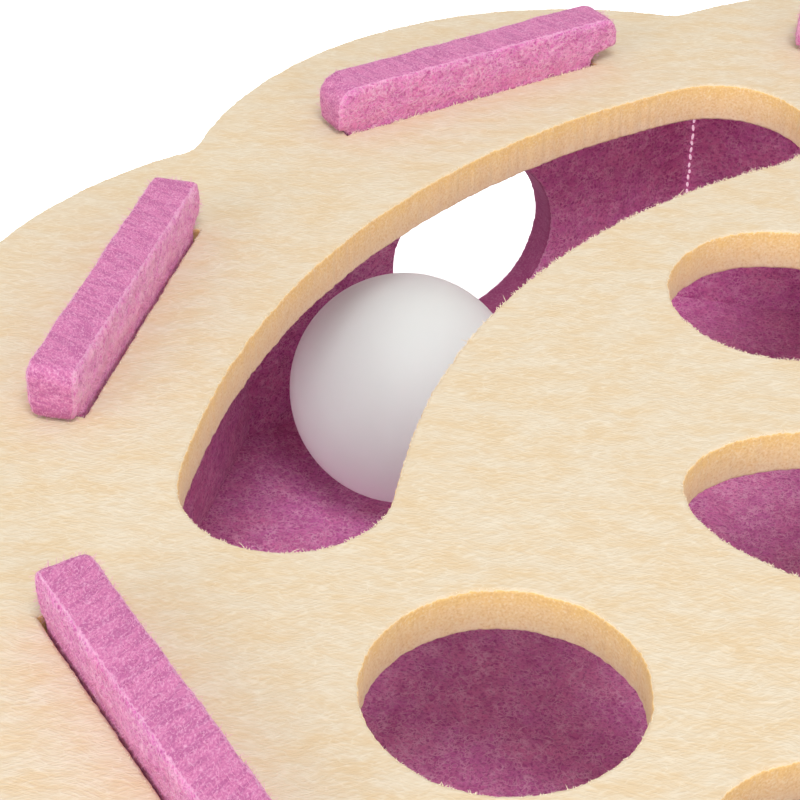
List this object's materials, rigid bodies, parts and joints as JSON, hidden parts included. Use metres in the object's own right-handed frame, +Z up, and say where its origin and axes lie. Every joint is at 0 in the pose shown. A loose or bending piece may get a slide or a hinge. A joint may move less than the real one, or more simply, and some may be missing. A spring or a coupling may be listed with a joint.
{
  "type": "felt cat activity mat",
  "caption": "Flower-shaped felt cat toy: an upper panel with curved ball slots and treat holes over an octagonal felt wall ring and a round floor, with a loose rolling ball inside.",
  "frame": {"origin": "on the ground, under the centre of the flower-shaped top", "axes": "+Z up; +Y towards the edge between the two curved ball slots, with the row of three treat holes on the -Y side; +X to the right when looking along +Y"},
  "size_m": [0.2904, 0.2904, 0.082],
  "materials": {
    "cream_felt": "soft needled felt, cream",
    "pink_felt": "soft needled felt, dusty pink",
    "pink_thread": "pale pink sewing thread",
    "ball_plastic": "smooth matte white"
  },
  "bodies": {
    "mat": {"top_panel": "cream_felt", "floor_panel": "pink_felt", "wall_strip_1": "pink_felt", "wall_strip_2": "pink_felt", "wall_strip_3": "pink_felt", "wall_strip_4": "pink_felt", "seam_thread_1": "pink_thread", "seam_thread_2": "pink_thread", "seam_thread_3": "pink_thread", "seam_thread_4": "pink_thread"},
    "rolling_ball": {"ball": "ball_plastic"}
  },
  "joints": [
    {"name": "ball_roll", "type": "hinge", "parent": "mat", "child": "rolling_ball", "pos_m": [0, 0, 0.0363], "axis": [0, 0, 1], "continuous": true}
  ]
}
